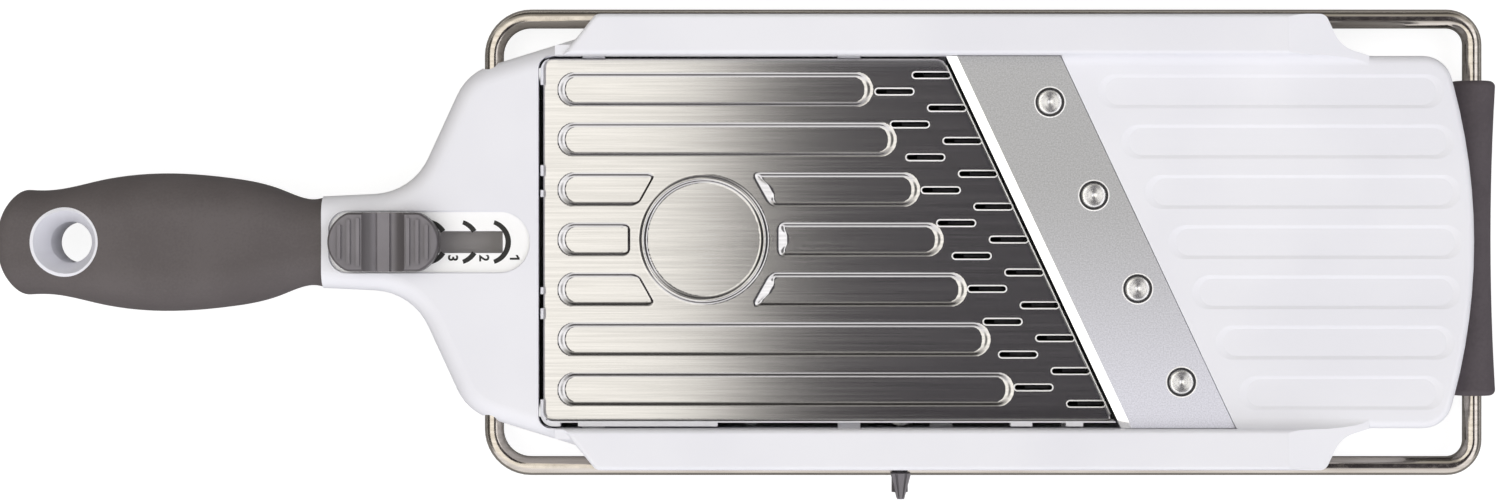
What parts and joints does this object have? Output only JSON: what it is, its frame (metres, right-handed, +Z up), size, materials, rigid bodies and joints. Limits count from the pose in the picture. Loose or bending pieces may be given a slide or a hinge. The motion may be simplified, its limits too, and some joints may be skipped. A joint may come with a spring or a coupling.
{
  "type": "mandoline slicer",
  "caption": "Mandoline slicer with a slanted blade, a height-set steel ramp, lifting julienne blades, a folding wire stand and a soft grip handle.",
  "frame": {"origin": "on the table, under the middle of the cross rib below the ramp, in the body's middle plane", "axes": "+X from the handle to the toe, +Z up out of the cutting face, +Y to the left when looking from the handle to the toe"},
  "size_m": [0.4029, 0.1324, 0.0353],
  "materials": {
    "white_plastic": "satin moulded",
    "grip_rubber": "matte, soft to the touch",
    "grey_plastic": "fine matte",
    "ramp_steel": "brushed along the length",
    "blade_steel": "satin ground",
    "small_steel": "turned",
    "wire_chrome": "polished",
    "foot_rubber": "matte",
    "bush_plastic": "plain"
  },
  "bodies": {
    "frame": {"body_frame": "white_plastic", "handle_grip": "grip_rubber", "slicing_blade": "blade_steel", "blade_rivets": "small_steel", "rivet_washers": "small_steel", "neck_cover": "white_plastic", "cover_screws": "small_steel", "stand_bushes": "bush_plastic", "shaft_bushes": "bush_plastic"},
    "slider": {"slider_button": "grey_plastic", "slider_carriage": "grey_plastic", "slider_screw": "small_steel", "friction_spring": "small_steel"},
    "ramp": {"ramp_plate": "ramp_steel", "ramp_carrier": "white_plastic", "lift_pins": "small_steel"},
    "stand": {"stand_wire": "wire_chrome", "stand_foot": "foot_rubber", "stand_retainers": "small_steel"},
    "lever": {"julienne_lever": "grey_plastic", "cam_shaft": "small_steel", "lift_cams": "grey_plastic", "cam_pins": "small_steel", "lever_pin": "small_steel", "shaft_clip": "small_steel"},
    "tray": {"julienne_tray": "white_plastic", "front_julienne_blades": "blade_steel", "rear_julienne_blades": "blade_steel"}
  },
  "joints": [
    {"name": "thickness_slide", "type": "slide", "parent": "frame", "child": "slider", "axis": [1, 0, 0], "range_m": [0, 0.0164]},
    {"name": "ramp_lift", "type": "slide", "parent": "frame", "child": "ramp", "axis": [0, 0, 1], "range_m": [0, 0.002]},
    {"name": "stand_fold", "type": "hinge", "parent": "frame", "child": "stand", "pos_m": [-0.07, 0, 0.0064], "axis": [0, 1, 0], "range_deg": [0, 120]},
    {"name": "julienne_turn", "type": "hinge", "parent": "frame", "child": "lever", "pos_m": [0.0401, 0, 0.01195], "axis": [0, 1, 0], "range_deg": [0, 90]},
    {"name": "julienne_lift", "type": "slide", "parent": "frame", "child": "tray", "axis": [0, 0, 1], "range_m": [0, 0.005]}
  ],
  "couplings": [
    {"joint": "ramp_lift", "follows": "thickness_slide", "ratio": 0.12195},
    {"joint": "julienne_turn", "follows": "julienne_lift", "rad_per_m": 314.16}
  ]
}
